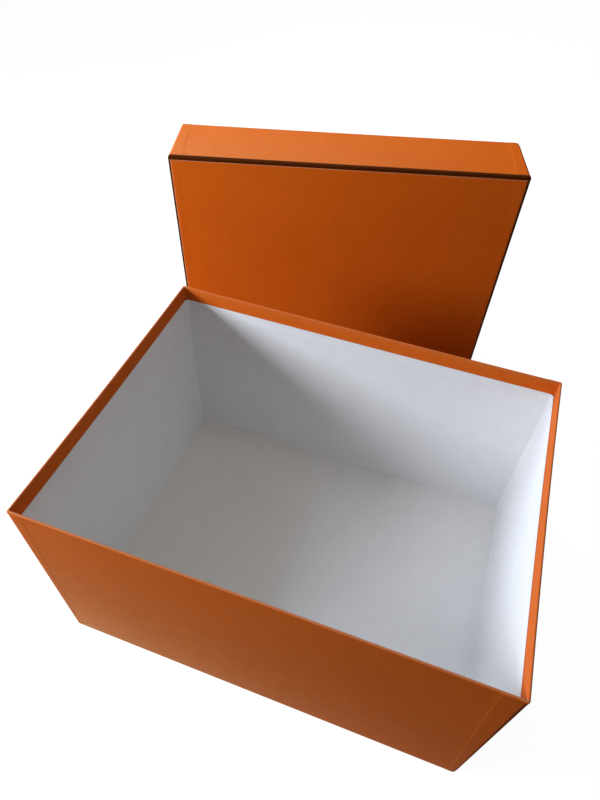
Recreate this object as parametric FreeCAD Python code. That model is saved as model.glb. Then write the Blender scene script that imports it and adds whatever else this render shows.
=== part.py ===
import FreeCAD, Part
import os

# A two-piece rigid gift box: an open base, and its lift-off lid standing on edge behind it.
# Both are trays of board, taped at the corners, covered with paper outside and lined inside.
# Sizes are in mm. X runs left to right, Y front to back, and Z up from the floor.

# Base, outside.
base_length = 420.0
base_width = 316.0
base_height = 236.0
base_board = 2.0

# Lid. Its length and width follow from the base and the fit.
lid_depth = 86.0
lid_top_board = 2.0
lid_skirt_board = 1.5
lid_fit = 0.5
lid_stand_x = -73.4
lid_stand_y = 331.0
lid_stand_turn = 15.7

# Paper, and how far each sheet is turned over or lapped.
paper = 0.2
base_turn_in = 30.0
base_turn_under = 16.0
base_lining_drop = 17.0
lid_turn_in = 18.0
lid_lining_drop = 10.0
lap_step = 1.0
sheet_trim = 0.5

# Corner flaps of the side sheets: their width at the rim and at the foot.
# The first flap of a sheet lies at the front left or back right, the second at the other corners.
base_first_flap_rim = 14.0
base_first_flap_foot = 1.5
base_second_flap_rim = 19.5
base_second_flap_foot = 7.0
base_flap_start = 1.0
lid_flap_rim = 12.0
lid_flap_foot = 16.0

# Stay tapes pressed into the outer corners of the boards.
stay_leg = 20.0
stay_thickness = 0.15
stay_below_rim = 4.0

# Edge band of the lid, and the sheet laid over its inner edge.
band_side = 5.0
band_lap = 8.0
band_margin = 4.0
band_margin_ends = 2.5

lid_wall = paper + lid_skirt_board + 2 * paper
lid_length = base_length + 2 * (lid_fit + lid_wall)
lid_width = base_width + 2 * paper + 2 * (lid_fit + lid_wall)


def block(x, y, z):
    """A box between the two limits given for each axis."""
    corner = FreeCAD.Vector(x[0], y[0], z[0])
    return Part.makeBox(x[1] - x[0], y[1] - y[0], z[1] - z[0], corner)


def prism(points, step):
    """The polygon through the points, swept by the step."""
    loop = Part.makePolygon([FreeCAD.Vector(*p) for p in points + points[:1]])
    return Part.Face(loop).extrude(FreeCAD.Vector(*step))


def joined(shapes):
    """One solid from shapes that share faces."""
    return shapes[0].multiFuse(shapes[1:]).removeSplitter()


def half_turned(shape):
    """The same shape turned half a turn about Z, for the opposite wall."""
    copy = shape.copy()
    copy.rotate(FreeCAD.Vector(0, 0, 0), FreeCAD.Vector(0, 0, 1), 180)
    return copy


class Tray:
    """Board, tapes, sheets and lining of one tray, open at the top, its floor's skin at Z = 0.

    The walls are named by direction: low Y, high Y, low X and high X.
    """

    def __init__(self, length, width, height, wall, floor, skin):
        self.height = height
        self.x = length / 2
        self.y = width / 2
        self.board_x = self.x - paper
        self.board_y = self.y - paper
        self.inner_x = self.board_x - wall
        self.inner_y = self.board_y - wall
        self.floor_low = skin
        self.floor_high = skin + floor
        self.board_top = height - paper

    def stays(self):
        """Four angle strips of tape, one on each outer corner of the boards."""
        z = (self.floor_low, self.board_top - stay_below_rim)
        along_x = block(
            (-self.board_x, -self.board_x + stay_leg),
            (-self.board_y, -self.board_y + stay_thickness), z)
        along_y = block(
            (-self.board_x, -self.board_x + stay_thickness),
            (-self.board_y, -self.board_y + stay_leg), z)
        first = joined([along_x, along_y])
        second = first.mirror(FreeCAD.Vector(0, 0, 0), FreeCAD.Vector(1, 0, 0))
        return [first, second, half_turned(first), half_turned(second)]

    def boards(self, stays):
        """Floor, low Y, high Y, low X and high X boards, with the tapes pressed into them."""
        z = (self.floor_high, self.board_top)
        floor = block(
            (-self.board_x, self.board_x), (-self.board_y, self.board_y),
            (self.floor_low, self.floor_high))
        low_y = block((-self.board_x, self.board_x), (-self.board_y, -self.inner_y), z)
        low_x = block((-self.board_x, -self.inner_x), (-self.inner_y, self.inner_y), z)
        boards = [floor, low_y, half_turned(low_y), low_x, half_turned(low_x)]
        return [board.cut(stays) for board in boards]

    def sheets(self, foot, turn_in, turn_under, flap):
        """Low Y, high Y, low X and high X covering sheets.

        Each one goes up its wall, over the rim and down inside. The low X and high X
        sheets also carry flaps that are folded round the corners, and the low Y and
        high Y sheets step out over them.
        """
        x, y, top = self.x, self.y, self.height
        lip_x = self.inner_x - paper
        lip_y = self.inner_y - paper
        rim = (0, 0, -paper)
        inside = (top - turn_in, top)

        low_x = [
            block((-x, -self.board_x), (-y, y), (foot, top)),
            prism([(-x, -y, top), (-x, y, top), (-lip_x, lip_y, top), (-lip_x, -lip_y, top)], rim),
            block((-self.inner_x, -lip_x), (-lip_y, lip_y), inside)]
        low_y = [
            block((-self.board_x, self.board_x), (-y, -self.board_y), (foot, top)),
            prism([(-x, -y, top), (x, -y, top), (lip_x, -lip_y, top), (-lip_x, -lip_y, top)], rim),
            block((-self.inner_x, self.inner_x), (-self.inner_y, -lip_y), inside)]
        if turn_under:
            far_x = x - turn_under
            far_y = y - turn_under
            up = (0, 0, paper)
            low_x.append(prism(
                [(-x, -y, 0), (-x, y, 0), (-far_x, far_y, 0), (-far_x, -far_y, 0)], up))
            low_y.append(prism(
                [(-x, -y, 0), (x, -y, 0), (far_x, -far_y, 0), (-far_x, -far_y, 0)], up))

        start, first, second = flap
        near = self.corner_strip(-x, start + lap_step, self.board_top, first, paper)
        far = self.corner_strip(-x, start + lap_step, self.board_top, second, paper)
        far = far.mirror(FreeCAD.Vector(0, 0, 0), FreeCAD.Vector(0, 1, 0))
        low_x = joined(low_x + [near, far])
        high_x = half_turned(low_x)

        over_first, over_second = ([width + lap_step for width in widths] for widths in (first, second))
        cover = self.corner_strip(-x + sheet_trim, start, top, over_first, -paper)
        other = self.corner_strip(-x + sheet_trim, start, top, over_second, -paper)
        other = other.mirror(FreeCAD.Vector(0, 0, 0), FreeCAD.Vector(1, 0, 0))
        flat = joined(low_y).cut([low_x, high_x])
        low_y = joined([flat, cover, other])
        return [low_y, half_turned(low_y), low_x, high_x]

    def corner_strip(self, edge, low, high, widths, depth):
        """A tapered strip on the low Y face, from the edge to its widths at the rim and the foot."""
        corner = -self.x
        rim, foot = widths
        points = [
            (edge, -self.y, low), (corner + foot, -self.y, low),
            (corner + rim, -self.y, high), (edge, -self.y, high)]
        return prism(points, (0, depth, 0))

    def linings(self, turn_in, drop):
        """Low Y, high Y, low X, high X and floor linings.

        A wall lining lies on the board, and steps out over the turned-in edge of the sheet.
        """
        face_x, face_y = self.inner_x, self.inner_y
        step_x, step_y = face_x - paper, face_y - paper
        lap_x, lap_y = step_x - paper, step_y - paper
        edge = self.height - turn_in
        low = (self.floor_high, edge)
        lap = (edge - lap_step, self.height - drop)
        low_y = joined([
            block((-face_x, face_x), (-face_y, -step_y), low),
            block((-step_x, step_x), (-step_y, -lap_y), lap)])
        low_x = joined([
            block((-face_x, -step_x), (-step_y, step_y), low),
            block((-step_x, -lap_x), (-lap_y, lap_y), lap)])
        floor = block(
            (-step_x, step_x), (-step_y, step_y), (self.floor_high, self.floor_high + paper))
        return [low_y, half_turned(low_y), low_x, half_turned(low_x), floor]


def edge_bands(tray):
    """Low Y, high Y, low X and high X strips folded over the lid's top edge, mitred on top."""
    x, y = tray.x + paper, tray.y + paper
    side = (paper, paper + band_side)
    level = 2 * paper
    down = (0, 0, -paper)
    low_y = joined([
        block((-x, x), (-y, -tray.y), side),
        prism([(-x, -y, level), (x, -y, level), (x - band_lap, -y + band_lap, level),
               (-x + band_lap, -y + band_lap, level)], down)])
    low_x = joined([
        block((-x, -tray.x), (-tray.y, tray.y), side),
        prism([(-x, -y, level), (-x, y, level), (-x + band_lap, y - band_lap, level),
               (-x + band_lap, -y + band_lap, level)], down)])
    high_y = half_turned(low_y)
    low_x = low_x.cut([low_y, high_y])
    return [low_y, high_y, low_x, half_turned(low_x)]


def top_sheet(tray):
    """The sheet on the lid's top: flat on the board, and stepped up over the bands' edge."""
    def level(ends, sides, z):
        x = tray.x + paper - ends
        y = tray.y + paper - sides
        return block((-x, x), (-y, y), z)

    inner = band_lap + lap_step
    border = level(band_margin_ends, band_margin, (0, paper)).cut(level(inner, inner, (0, paper)))
    middle = level(band_lap, band_lap, (paper, 2 * paper))
    return joined([border, middle])


nodes = {}


def keep(prefix, kind, sides, shapes, place):
    """Put the shapes in place and note each under its node name."""
    for side, shape in zip(sides, shapes):
        placed = shape.copy()
        placed.Placement = place.multiply(placed.Placement)
        nodes[prefix + "_" + side + "_" + kind] = placed


base = Tray(base_length, base_width, base_height, base_board, base_board, paper)
base_place = FreeCAD.Placement()
base_walls = ["front", "back", "left", "right"]
base_stays = base.stays()
base_flap = (
    base_flap_start, (base_first_flap_rim, base_first_flap_foot), (base_second_flap_rim, base_second_flap_foot))
under_x = base.x - base_turn_under
under_y = base.y - base_turn_under
bottom_sheet = block((-under_x, under_x), (-under_y, under_y), (0, paper))

keep("base", "board", ["bottom"] + base_walls, base.boards(base_stays), base_place)
keep("base", "stays", ["corner"], [Part.makeCompound(base_stays)], base_place)
keep("base", "sheet", base_walls + ["bottom"],
     base.sheets(0, base_turn_in, base_turn_under, base_flap) + [bottom_sheet], base_place)
keep("base", "lining", base_walls + ["floor"],
     base.linings(base_turn_in, base_lining_drop), base_place)

# The lid is the same kind of tray. It stands on its front skirt, with its top towards the base.
lid = Tray(lid_length, lid_width, lid_depth, lid_skirt_board, lid_top_board, 2 * paper)
lid_place = FreeCAD.Placement(
    FreeCAD.Vector(lid_stand_x, lid_stand_y, lid.y + paper),
    FreeCAD.Rotation(lid_stand_turn, 0, -90))
lid_walls = ["back", "front", "left", "right"]
lid_stays = lid.stays()
lid_flap = (paper + band_side, (lid_flap_rim, lid_flap_foot), (lid_flap_rim, lid_flap_foot))

keep("lid", "board", ["top"] + lid_walls, lid.boards(lid_stays), lid_place)
keep("lid", "stays", ["corner"], [Part.makeCompound(lid_stays)], lid_place)
keep("lid", "sheet", lid_walls + ["top"],
     lid.sheets(lid.floor_low, lid_turn_in, 0, lid_flap) + [top_sheet(lid)], lid_place)
keep("lid", "band", lid_walls, edge_bands(lid), lid_place)
keep("lid", "lining", lid_walls + ["top"], lid.linings(lid_turn_in, lid_lining_drop), lid_place)

os.makedirs("parts", exist_ok=True)
for name, shape in nodes.items():
    shape.exportStep("parts/" + name + ".step")
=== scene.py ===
"""Looks of a rigid gift box: boards, tapes, covering paper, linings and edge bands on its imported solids.

Every sheet is built in the frame of its tray, where Z runs from the tray's floor to its rim, and is
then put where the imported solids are. Lengths are in metres.
"""

import logging
import math
from dataclasses import dataclass, field, replace
from enum import Enum
from typing import Optional, Sequence, Union

import bmesh
import bpy
import numpy as np
from mathutils import Euler, Matrix, Vector, noise


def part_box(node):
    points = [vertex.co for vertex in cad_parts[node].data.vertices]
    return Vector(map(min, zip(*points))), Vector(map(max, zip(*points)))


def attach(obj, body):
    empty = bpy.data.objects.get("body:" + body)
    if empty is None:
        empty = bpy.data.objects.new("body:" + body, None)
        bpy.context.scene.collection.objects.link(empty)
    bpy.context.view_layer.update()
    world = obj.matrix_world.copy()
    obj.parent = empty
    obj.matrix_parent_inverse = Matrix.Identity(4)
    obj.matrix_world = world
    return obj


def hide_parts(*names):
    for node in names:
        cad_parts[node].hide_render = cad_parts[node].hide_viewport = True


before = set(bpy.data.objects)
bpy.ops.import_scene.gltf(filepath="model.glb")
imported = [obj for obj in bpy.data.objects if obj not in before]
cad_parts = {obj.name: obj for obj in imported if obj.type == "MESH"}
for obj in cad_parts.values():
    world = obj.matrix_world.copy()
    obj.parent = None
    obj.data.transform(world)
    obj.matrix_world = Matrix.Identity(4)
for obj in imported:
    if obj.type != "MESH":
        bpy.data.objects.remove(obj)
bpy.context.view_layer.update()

log = logging.getLogger("gift_box")

Socket = bpy.types.NodeSocket
Inputs = Optional[dict[Union[str, int], object]]
Number = Union[float, "Field"]
Values = Union[float, np.ndarray]
Pair = tuple[float, float]
Point = tuple[float, float, float]
Colour = tuple[float, float, float, float]

MM = 0.001
HALF_TURN = math.pi
RIGHT_ANGLE = math.pi / 2
MITRE_ANGLE = math.pi / 4

# Lengths that differ by less than this count as the same
NEAR = 0.1 * MM
# Added to noise from about -1 to 1, of which the part above zero is used
RIPPLE_SHIFT = 0.2
# The range that most of a material's noise lies in
MOST_NOISE = (0.3, 0.7)
# Numbers of a mix node's sockets for colours, which share their names with others
MIX_SHARE, MIX_FIRST, MIX_SECOND, MIX_RESULT = 0, 6, 7, 2
# Normals in the section of a wall, as their parts into the tray and up
OUTWARD, INWARD, DOWNWARD = (-1.0, 0.0), (1.0, 0.0), (0.0, -1.0)
# A row whose normal points up at least this much is on the rim
RIM_NORMAL = 0.1
ROUND_PROFILE = 0.5
ZERO = (0.0, 0.0, 0.0)
# Turns the right half of a sheet into the left one
MIRROR = np.array([-1.0, 1.0, 1.0])


class Body(Enum):
    """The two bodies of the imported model."""

    BASE = "base"
    LID = "lid"


class Wall(Enum):
    """A wall of a tray, by the quarter turns that bring the low Y wall there."""

    LOW_Y = 0
    HIGH_X = 1
    HIGH_Y = 2
    LOW_X = 3

    @property
    def lapped(self) -> bool:
        """Whether this wall's sheet lies over the flaps of its neighbours."""
        return self in (Wall.LOW_Y, Wall.HIGH_Y)

    @property
    def turn(self) -> np.ndarray:
        """The matrix that turns the low Y wall to this one."""
        return np.array(Matrix.Rotation(self.value * RIGHT_ANGLE, 3, "Z"))


class Reach(Enum):
    """How far a row of a covering sheet goes at the corner of the tray."""

    LAP = "to the start of the rounded corner"
    MITRE = "to the middle of the rounded corner"
    FLAP = "round the corner and on under the next sheet"


def smooth(value: Values) -> Values:
    """Smooth step from 0 to 1 as the value goes from 0 to 1."""
    clipped = np.clip(value, 0.0, 1.0)
    return clipped * clipped * (3.0 - 2.0 * clipped)


def rgba(red: float, green: float, blue: float) -> Colour:
    """A full colour from its linear parts."""
    return (red, green, blue, 1.0)


def add_node(tree: bpy.types.NodeTree, kind: str, inputs: Inputs = None,
             **settings: object) -> bpy.types.Node:
    """Add a node to a tree.

    Args:
        tree: The tree.
        kind: The node's type.
        inputs: What its inputs get, by name or number: constants, or outputs and fields to link.
        settings: Properties of the node, by name.

    Returns:
        The new node.
    """
    node = tree.nodes.new(kind)
    for name, setting in settings.items():
        setattr(node, name, setting)
    for key, value in (inputs or {}).items():
        source = value.socket if isinstance(value, Field) else value
        if isinstance(source, Socket):
            tree.links.new(source, node.inputs[key])
        else:
            node.inputs[key].default_value = source
    return node


def background_rays(tree: bpy.types.NodeTree) -> Socket:
    """Find the rays that show the background: straight from the camera, mirrored or through glass.

    Args:
        tree: Node tree of the floor's material or of the world.

    Returns:
        One for such a ray and zero for any other.
    """
    rays = add_node(tree, "ShaderNodeLightPath").outputs
    seen = rays["Is Camera Ray"]
    for kind in ("Is Glossy Ray", "Is Transmission Ray"):
        larger = add_node(tree, "ShaderNodeMath", {0: seen, 1: rays[kind]}, operation="MAXIMUM")
        seen = larger.outputs[0]
    return seen


# Materials


@dataclass(frozen=True)
class Pattern:
    """Noise of a material, with its features in a metre and its octaves, and the weight it becomes.

    The stretch is the scale of each axis. A pattern of the surface follows the piece's UV map, which
    is in metres along the sheet.
    """

    scale: float
    detail: float
    source: Pair = (0.0, 1.0)
    target: Pair = (0.0, 1.0)
    stretch: Point = (1.0, 1.0, 1.0)
    surface: bool = False


class Paint:
    """One material's node tree, with short calls for the nodes that papers need."""

    def __init__(self, name: str) -> None:
        """Start an empty tree.

        Args:
            name: Name of the material.
        """
        self.material = bpy.data.materials.new(name)
        self.material.use_nodes = True
        self.tree = self.material.node_tree
        self.tree.nodes.clear()
        self.coordinates = self.node("ShaderNodeTexCoord").outputs

    def node(self, kind: str, inputs: Inputs = None, **settings: object) -> bpy.types.Node:
        """Add a node to this material's tree."""
        return add_node(self.tree, kind, inputs, **settings)

    def noise(self, pattern: Pattern) -> Socket:
        """Noise from 0 to 1.

        Args:
            pattern: Its scale, octaves and stretch.

        Returns:
            The noise's value.
        """
        place = self.coordinates["UV" if pattern.surface else "Object"]
        mapping = self.node("ShaderNodeMapping", {"Vector": place, "Scale": pattern.stretch})
        texture = self.node("ShaderNodeTexNoise", {
            "Vector": mapping.outputs["Vector"], "Scale": pattern.scale, "Detail": pattern.detail})
        return texture.outputs["Fac"]

    def span(self, value: Socket, source: Pair, target: Pair) -> Socket:
        """Map a value from one range to another, clamped."""
        ends = dict(zip(("From Min", "From Max", "To Min", "To Max"), (*source, *target)))
        return self.node("ShaderNodeMapRange", {"Value": value, **ends}).outputs["Result"]

    def weight(self, pattern: Pattern) -> Socket:
        """The weight that a pattern's noise becomes."""
        return self.span(self.noise(pattern), pattern.source, pattern.target)

    def times(self, first: Socket, second: Socket) -> Socket:
        """Product of two values."""
        return self.node("ShaderNodeMath", {0: first, 1: second}, operation="MULTIPLY").outputs[0]

    def mix(self, share: Socket, first: object, second: object) -> Socket:
        """Mix two colours, with this share of the second."""
        inputs = {MIX_SHARE: share, MIX_FIRST: first, MIX_SECOND: second}
        return self.node("ShaderNodeMix", inputs, data_type="RGBA").outputs[MIX_RESULT]

    def attribute(self, name: str) -> Socket:
        """A number stored on the piece's mesh."""
        return self.node("ShaderNodeAttribute", attribute_name=name).outputs["Fac"]

    def bump(self, height: Socket, depth: float, strength: float,
             normal: Optional[Socket] = None) -> Socket:
        """A bumped normal.

        Args:
            height: Height from 0 to 1.
            depth: Real height of the bump.
            strength: How much of it shows.
            normal: A normal to start from, if any.

        Returns:
            The normal.
        """
        inputs = {"Distance": depth, "Strength": strength, "Height": height}
        if normal is not None:
            inputs["Normal"] = normal
        return self.node("ShaderNodeBump", inputs).outputs["Normal"]

    def finish(self, colour: Socket, roughness: Socket, normal: Socket,
               **constants: float) -> bpy.types.Material:
        """Join colour, roughness and normal in a surface shader.

        Args:
            colour: Base colour.
            roughness: Roughness.
            normal: Normal.
            constants: Other inputs of the shader that are the same all over, by name with _ for a space.

        Returns:
            The finished material.
        """
        inputs = {"Base Color": colour, "Roughness": roughness, "Normal": normal}
        inputs.update({name.replace("_", " "): value for name, value in constants.items()})
        return self.close(self.node("ShaderNodeBsdfPrincipled", inputs))

    def close(self, shader: bpy.types.Node) -> bpy.types.Material:
        """The material, with this shader for its surface."""
        self.node("ShaderNodeOutputMaterial", {"Surface": shader.outputs[0]})
        return self.material


@dataclass(frozen=True)
class CoveringPaper:
    """Coloured covering paper: fine pebbled grain, faint cloudiness, paler where rubbed along folds, with a
    painted highlight on the rims' crests, painted sheen on the turned-in paper and a painted reflection near
    the foot.

    A relief is the depth of a bump and its strength.
    """

    slot: str
    colour: Colour
    deep: Colour
    worn_and_sheen: Colour
    wear_and_sheen: float
    # Paler colour near the foot: painted reflection of the light from the floor and the window
    painted_reflection_colour: Colour = rgba(0.75, 0.56, 0.28)
    sheen: float = 0.003
    roughness: Pair = (0.46, 0.6)
    pale_fold_range: Pair = (0.15, 1.0)
    cloud: Pattern = Pattern(13.0, 4.0, (0.3, 0.75), (0.0, 0.4))
    mottle: Pattern = Pattern(75.0, 2.0, MOST_NOISE, (0.0, 0.3))
    fibres: Pattern = Pattern(60.0, 3.0, (0.35, 0.75), (0.0, 0.35), (1.0, 9.0, 1.0), surface=True)
    pebbles: Pattern = Pattern(1100.0, 2.0, (0.4, 0.7), (0.0, 0.25))
    rubbing: Pattern = Pattern(240.0, 3.0, MOST_NOISE, (0.6, 1.0))
    patches: Pattern = Pattern(150.0, 4.0, MOST_NOISE, (0.75, 1.25))
    swell: Pattern = Pattern(26.0, 2.0)
    pebble_relief: Pair = (0.06 * MM, 0.5)
    swell_relief: Pair = (0.3 * MM, 0.25)

    def build(self) -> bpy.types.Material:
        """Make the material.

        Returns:
            The material.
        """
        paint = Paint(self.slot)
        pebbles = paint.noise(self.pebbles)
        grain = paint.span(pebbles, self.pebbles.source, self.pebbles.target)
        tone = self.colour
        for share in (*map(paint.weight, (self.cloud, self.mottle, self.fibres)), grain):
            tone = paint.mix(share, tone, self.deep)
        # Paler along folds: rubbed paper, with a painted highlight on the rims' crests and painted sheen on
        # the turned-in paper
        folds = paint.span(paint.attribute("fold"), self.pale_fold_range, (0.0, self.wear_and_sheen))
        tone = paint.mix(paint.times(folds, paint.weight(self.rubbing)), tone, self.worn_and_sheen)
        # Painted reflection: the paler colour, in patches, where the mesh's weight for it is high
        painted_reflection_share = paint.times(paint.attribute("painted_reflection"), paint.weight(self.patches))
        tone = paint.mix(painted_reflection_share, tone, self.painted_reflection_colour)
        normal = paint.bump(pebbles, *self.pebble_relief)
        normal = paint.bump(paint.noise(self.swell), *self.swell_relief, normal)
        roughness = paint.span(pebbles, MOST_NOISE, self.roughness)
        return paint.finish(tone, roughness, normal, Specular_IOR_Level=self.sheen)


@dataclass(frozen=True)
class LiningPaper:
    """White lining paper: smooth, with soft fibres, a few flecks and faint handling marks."""

    slot: str
    colour: Colour
    shade: Colour
    fleck: Colour
    sheen: float = 0.25
    roughness: Pair = (0.55, 0.68)
    cloud: Pattern = Pattern(9.0, 3.0, (0.35, 0.7), (0.0, 0.5))
    mottle: Pattern = Pattern(55.0, 2.0, MOST_NOISE, (0.0, 0.8))
    fibres: Pattern = Pattern(520.0, 3.0, (0.45, 0.75), (0.0, 0.4), (1.0, 5.0, 1.0), surface=True)
    flecks: Pattern = Pattern(330.0, 0.0, (0.80, 0.88), (0.0, 0.35))
    flecked: Pattern = Pattern(17.0, 0.0, (0.64, 0.70))
    swell: Pattern = Pattern(20.0, 2.0)
    fibre_relief: Pair = (0.02 * MM, 0.4)
    swell_relief: Pair = (0.3 * MM, 0.2)

    def build(self) -> bpy.types.Material:
        """Make the material.

        Returns:
            The material.
        """
        paint = Paint(self.slot)
        fibres = paint.noise(self.fibres)
        threads = paint.span(fibres, self.fibres.source, self.fibres.target)
        tone = self.colour
        for share in (paint.weight(self.cloud), paint.weight(self.mottle), threads):
            tone = paint.mix(share, tone, self.shade)
        flecks = paint.times(paint.weight(self.flecks), paint.weight(self.flecked))
        tone = paint.mix(flecks, tone, self.fleck)
        normal = paint.bump(fibres, *self.fibre_relief)
        normal = paint.bump(paint.noise(self.swell), *self.swell_relief, normal)
        roughness = paint.span(fibres, MOST_NOISE, self.roughness)
        return paint.finish(tone, roughness, normal, Specular_IOR_Level=self.sheen)


@dataclass(frozen=True)
class BoardStock:
    """Pulp board or kraft tape: mixed fibres in two tones, matte and a little rough."""

    slot: str
    colour: Colour
    dark: Colour
    scale: float
    fineness: float = 3.0
    roughness: Pair = (0.8, 0.95)
    relief: Pair = (0.08 * MM, 0.5)

    def build(self) -> bpy.types.Material:
        """Make the material.

        Returns:
            The material.
        """
        paint = Paint(self.slot)
        patterns = (
            Pattern(self.scale, 5.0, (0.35, 0.65), (0.0, 0.7)),
            Pattern(self.scale * self.fineness, 2.0, (0.6, 0.75), (0.0, 0.6), (1.0, 4.0, 1.0)))
        pulp, fibres = map(paint.noise, patterns)
        tone = self.colour
        for height, pattern in zip((pulp, fibres), patterns):
            tone = paint.mix(paint.span(height, pattern.source, pattern.target), tone, self.dark)
        roughness = paint.span(pulp, MOST_NOISE, self.roughness)
        return paint.finish(tone, roughness, paint.bump(fibres, *self.relief))


@dataclass(frozen=True)
class PaleFloor:
    """White floor. The camera sees it near white, with the object's shadow left on it.

    It throws back light like a white sheet round the object on a darker table. The sheet goes on for a
    reach past a rectangle round the object, which is given by its middle and half its sides.
    """

    near: float
    far: float
    reach: Pair
    middle: Point
    half: Point
    seen: float
    glow: float

    def build(self) -> bpy.types.Material:
        """Make the material.

        Returns:
            The material.
        """
        paint = Paint("pale_floor")
        spot = paint.coordinates["Object"]
        steps = (("SUBTRACT", self.middle), ("ABSOLUTE", ZERO), ("SUBTRACT", self.half), ("MAXIMUM", ZERO))
        for operation, other in steps:
            step = paint.node("ShaderNodeVectorMath", {0: spot, 1: other}, operation=operation)
            spot = step.outputs["Vector"]
        away = paint.node("ShaderNodeVectorMath", {0: spot}, operation="LENGTH").outputs["Value"]
        bounce = paint.span(away, self.reach, (self.near, self.far))
        dull = paint.node("ShaderNodeBsdfDiffuse", {"Color": bounce})
        white = paint.node("ShaderNodeBsdfDiffuse", {"Color": rgba(self.seen, self.seen, self.seen)})
        glow = paint.node("ShaderNodeEmission", {"Strength": self.glow})
        pale = paint.node("ShaderNodeAddShader", {0: white.outputs[0], 1: glow.outputs[0]})
        inputs = {0: background_rays(paint.tree), 1: dull.outputs[0], 2: pale.outputs[0]}
        return paint.close(paint.node("ShaderNodeMixShader", inputs))


Finish = Union[CoveringPaper, LiningPaper, BoardStock]

ORANGE = CoveringPaper(
    "orange_paper", colour=rgba(0.69, 0.1265, 0.0088), deep=rgba(0.575, 0.099, 0.0066),
    worn_and_sheen=rgba(0.46, 0.23, 0.13), wear_and_sheen=0.9)
BROWN = CoveringPaper(
    "brown_paper", colour=rgba(0.082, 0.0165, 0.002), deep=rgba(0.06, 0.0118, 0.0014),
    worn_and_sheen=rgba(0.50, 0.21, 0.10), wear_and_sheen=0.7)
WHITE = LiningPaper(
    "white_paper", colour=rgba(0.80, 0.80, 0.81), shade=rgba(0.765, 0.765, 0.78),
    fleck=rgba(0.42, 0.40, 0.38))
GREYBOARD = BoardStock("greyboard", rgba(0.30, 0.27, 0.235), rgba(0.20, 0.18, 0.16), scale=260.0)
KRAFT = BoardStock("stay_tape", rgba(0.52, 0.34, 0.17), rgba(0.42, 0.26, 0.12), scale=420.0)
FLOOR = PaleFloor(
    near=0.65, far=0.04, reach=(0.08, 0.2), middle=(-0.045, 0.157, 0.0), half=(0.255, 0.315, 0.0),
    seen=0.15, glow=0.96)


# Geometry Nodes


class Field:
    """A number that a geometry node tree works out, with the usual signs of arithmetic."""

    def __init__(self, tree: bpy.types.NodeTree, socket: Socket) -> None:
        """Keep the tree and the output that gives the number."""
        self.tree = tree
        self.socket = socket

    def worked(self, operation: str, *values: Number, clamp: bool = False) -> "Field":
        """Add a math node.

        Args:
            operation: The node's operation.
            values: Its inputs, numbers or fields.
            clamp: Whether the result stays from 0 to 1.

        Returns:
            The result.
        """
        inputs = dict(enumerate(values))
        node = add_node(self.tree, "ShaderNodeMath", inputs, operation=operation, use_clamp=clamp)
        return Field(self.tree, node.outputs[0])

    def __add__(self, other: Number) -> "Field":
        """Sum."""
        return self.worked("ADD", self, other)

    def __sub__(self, other: Number) -> "Field":
        """Difference."""
        return self.worked("SUBTRACT", self, other)

    def __rsub__(self, other: Number) -> "Field":
        """Difference from a number."""
        return self.worked("SUBTRACT", other, self)

    def __mul__(self, other: Number) -> "Field":
        """Product."""
        return self.worked("MULTIPLY", self, other)

    def __truediv__(self, other: Number) -> "Field":
        """Quotient."""
        return self.worked("DIVIDE", self, other)

    def size(self) -> "Field":
        """The number without its sign."""
        return self.worked("ABSOLUTE", self)

    def sign(self) -> "Field":
        """Minus one, zero or one."""
        return self.worked("SIGN", self)

    def sine(self) -> "Field":
        """Sine of the number, in radians."""
        return self.worked("SINE", self)

    def cosine(self) -> "Field":
        """Cosine of the number, in radians."""
        return self.worked("COSINE", self)

    def root(self) -> "Field":
        """Square root of the number."""
        return self.worked("SQRT", self)

    def heading(self, across: "Field") -> "Field":
        """Angle of the point that lies this far along and that far across."""
        return self.worked("ARCTAN2", across, self)

    def at_least(self, other: Number) -> "Field":
        """The larger of the two."""
        return self.worked("MAXIMUM", self, other)

    def at_most(self, other: Number) -> "Field":
        """The smaller of the two."""
        return self.worked("MINIMUM", self, other)

    def clamped(self) -> "Field":
        """The number kept from 0 to 1."""
        return self.worked("ADD", self, 0.0, clamp=True)

    def smooth(self) -> "Field":
        """Smooth step from 0 to 1."""
        kept = self.clamped()
        return kept * kept * (3.0 - kept * 2.0)


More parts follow.
